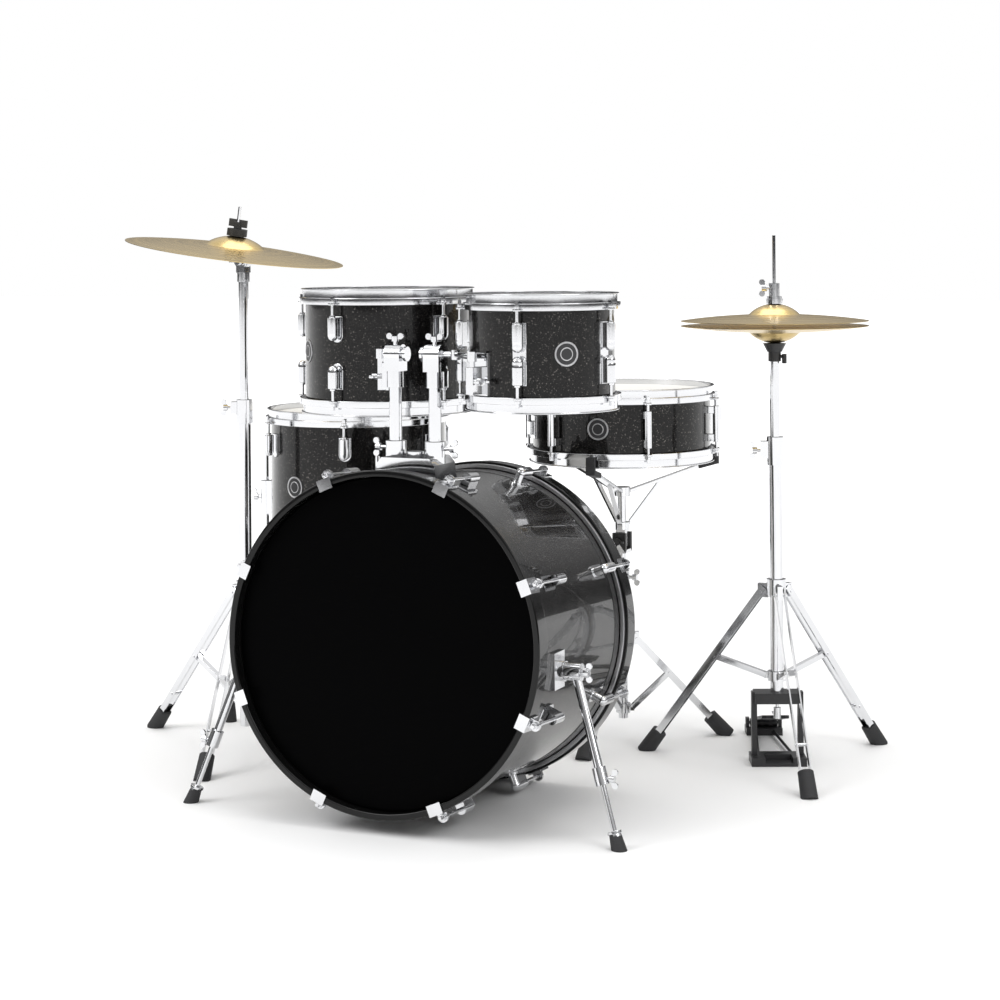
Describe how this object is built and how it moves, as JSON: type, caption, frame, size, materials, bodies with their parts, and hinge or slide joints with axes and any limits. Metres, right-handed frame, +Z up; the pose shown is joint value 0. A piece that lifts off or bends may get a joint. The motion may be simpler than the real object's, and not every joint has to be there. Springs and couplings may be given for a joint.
{
  "type": "acoustic drum kit",
  "caption": "Free-standing acoustic drum kit: bass drum with mounted toms, floor tom, snare drum on its stand, hi-hat with pedal and a crash cymbal on a tripod stand.",
  "frame": {"origin": "point on the floor below the middle of the whole kit", "axes": "+Z up; the bass drum's axis runs along Y and its front head faces -Y, towards the audience; +X is to the audience's right, where the hi-hat stands"},
  "size_m": [1.4661, 1.0322, 1.0676],
  "materials": {
    "wrap": "gloss sparkle wrap on a wooden shell",
    "clear_head": "coated film with a steel ring",
    "black_head": "satin film with a steel ring",
    "black_hoop": "gloss black lacquered maple",
    "chrome": "polished chrome plate",
    "cymbal_bronze": "lathed brass",
    "rubber": "matt moulded rubber",
    "black_plastic": "moulded or powder-coated black",
    "felt": "pressed felt washers under a steel wing nut"
  },
  "bodies": {
    "root": {"bass_shell": "wrap", "bass_heads": "black_head", "bass_hoops": "black_hoop", "bass_lugs": "chrome", "bass_tension_rods": "chrome", "bass_claws": "chrome", "bass_spur_brackets": "chrome", "tom_mount_base": "chrome", "tom_mount_screws": "chrome", "floor_tom_legs": "chrome", "snare_stand_base": "chrome", "hihat_base": "chrome", "hihat_pedal_frame": "black_plastic", "crash_base": "chrome", "rubber_feet": "rubber"},
    "left_spur": {"left_spur": "chrome"},
    "right_spur": {"right_spur": "chrome"},
    "left_spur_tip": {"left_spur_tip": "chrome"},
    "right_spur_tip": {"right_spur_tip": "chrome"},
    "left_tom_post": {"left_tom_post": "chrome"},
    "right_tom_post": {"right_tom_post": "chrome"},
    "large_tom": {"left_tom_arm": "chrome", "large_tom_shell": "wrap", "large_tom_heads": "clear_head", "large_tom_hoops": "chrome", "large_tom_fittings": "chrome", "large_tom_rods": "chrome"},
    "small_tom": {"right_tom_arm": "chrome", "small_tom_shell": "wrap", "small_tom_heads": "clear_head", "small_tom_hoops": "chrome", "small_tom_fittings": "chrome", "small_tom_rods": "chrome"},
    "floor_tom": {"floor_tom_shell": "wrap", "floor_tom_heads": "clear_head", "floor_tom_hoops": "chrome", "floor_tom_lugs": "chrome", "floor_tom_rods": "chrome", "floor_tom_brackets": "chrome"},
    "snare_post": {"snare_stand_post": "black_plastic"},
    "snare_drum": {"snare_basket": "chrome", "snare_shell": "wrap", "snare_heads": "clear_head", "snare_hoops": "chrome", "snare_lugs": "chrome", "snare_rods": "chrome", "snare_strainer": "chrome", "snare_wires": "chrome"},
    "snare_lever": {"snare_lever": "chrome"},
    "hihat_upper": {"hihat_upper_tube": "chrome", "hihat_seat": "black_plastic", "hihat_bottom_cymbal": "cymbal_bronze"},
    "hihat_rod": {"hihat_pull_rod": "chrome"},
    "hihat_clutch_body": {"hihat_clutch": "chrome", "hihat_top_cymbal": "cymbal_bronze"},
    "hihat_footboard": {"hihat_footboard": "black_plastic"},
    "crash_upper": {"crash_upper_tube": "chrome"},
    "crash_tilter": {"crash_tilter": "chrome", "crash_wing_nut": "felt"},
    "crash_cymbal": {"crash_cymbal": "cymbal_bronze"}
  },
  "joints": [
    {"name": "left_spur_fold", "type": "hinge", "parent": "root", "child": "left_spur", "pos_m": [-0.2271, -0.3924, 0.276], "axis": [1, 0, 0], "range_deg": [-75, 0]},
    {"name": "right_spur_fold", "type": "hinge", "parent": "root", "child": "right_spur", "pos_m": [0.3917, -0.3924, 0.276], "axis": [1, 0, 0], "range_deg": [-75, 0]},
    {"name": "left_spur_length", "type": "slide", "parent": "left_spur", "child": "left_spur_tip", "axis": [-0.3171, -0.1592, -0.9349], "range_m": [-0.03, 0.04]},
    {"name": "right_spur_length", "type": "slide", "parent": "right_spur", "child": "right_spur_tip", "axis": [0.3171, -0.1592, -0.9349], "range_m": [-0.03, 0.04]},
    {"name": "large_tom_height", "type": "slide", "parent": "root", "child": "left_tom_post", "axis": [0, 0, 1], "range_m": [-0.01, 0.05]},
    {"name": "small_tom_height", "type": "slide", "parent": "root", "child": "right_tom_post", "axis": [0, 0, 1], "range_m": [-0.01, 0.05]},
    {"name": "large_tom_tilt", "type": "hinge", "parent": "left_tom_post", "child": "large_tom", "pos_m": [0.0823, -0.3524, 0.8], "axis": [1, 0, 0], "range_deg": [-12, 10]},
    {"name": "small_tom_tilt", "type": "hinge", "parent": "right_tom_post", "child": "small_tom", "pos_m": [0.0823, -0.3524, 0.8], "axis": [1, 0, 0], "range_deg": [-12, 10]},
    {"name": "floor_tom_height", "type": "slide", "parent": "root", "child": "floor_tom", "axis": [0, 0, 1], "range_m": [-0.02, 0.06]},
    {"name": "snare_height", "type": "slide", "parent": "root", "child": "snare_post", "axis": [0, 0, 1], "range_m": [-0.02, 0.04]},
    {"name": "snare_tilt", "type": "hinge", "parent": "snare_post", "child": "snare_drum", "pos_m": [0.2093, 0.3276, 0.395], "axis": [0, 1, 0], "range_deg": [-10, 10]},
    {"name": "snare_strainer_lever", "type": "hinge", "parent": "snare_drum", "child": "snare_lever", "pos_m": [0.36969, 0.4437, 0.646], "axis": [-0.5864, 0.81, 0], "range_deg": [0, 75]},
    {"name": "hihat_height", "type": "slide", "parent": "root", "child": "hihat_upper", "axis": [0, 0, 1], "range_m": [-0.02, 0.06]},
    {"name": "hihat_rod_slide", "type": "slide", "parent": "root", "child": "hihat_rod", "axis": [0, 0, 1], "range_m": [-0.00754, 0], "stiffness_N_per_m": 400, "springref_m": 0.09},
    {"name": "hihat_clutch_height", "type": "slide", "parent": "hihat_rod", "child": "hihat_clutch_body", "axis": [0, 0, 1], "range_m": [-0.02, 0.06]},
    {"name": "hihat_pedal", "type": "hinge", "parent": "root", "child": "hihat_footboard", "pos_m": [0.45762, 0.46773, 0.022], "axis": [-0.9205, -0.3907, 0], "range_deg": [-2, 0]},
    {"name": "crash_height", "type": "slide", "parent": "root", "child": "crash_upper", "axis": [0, 0, 1], "range_m": [-0.08, 0.1]},
    {"name": "crash_tilt", "type": "hinge", "parent": "crash_upper", "child": "crash_tilter", "pos_m": [-0.4527, -0.0264, 0.959], "axis": [0, 1, 0], "range_deg": [-30, 20]},
    {"name": "crash_turn", "type": "hinge", "parent": "crash_tilter", "child": "crash_cymbal", "pos_m": [-0.47446, -0.0264, 0.96225], "axis": [0.1478, 0, 0.989], "continuous": true}
  ],
  "couplings": [
    {"joint": "hihat_rod_slide", "follows": "hihat_pedal", "m_per_rad": 0.216},
    {"joint": "hihat_clutch_height", "follows": "hihat_height", "ratio": 1}
  ]
}
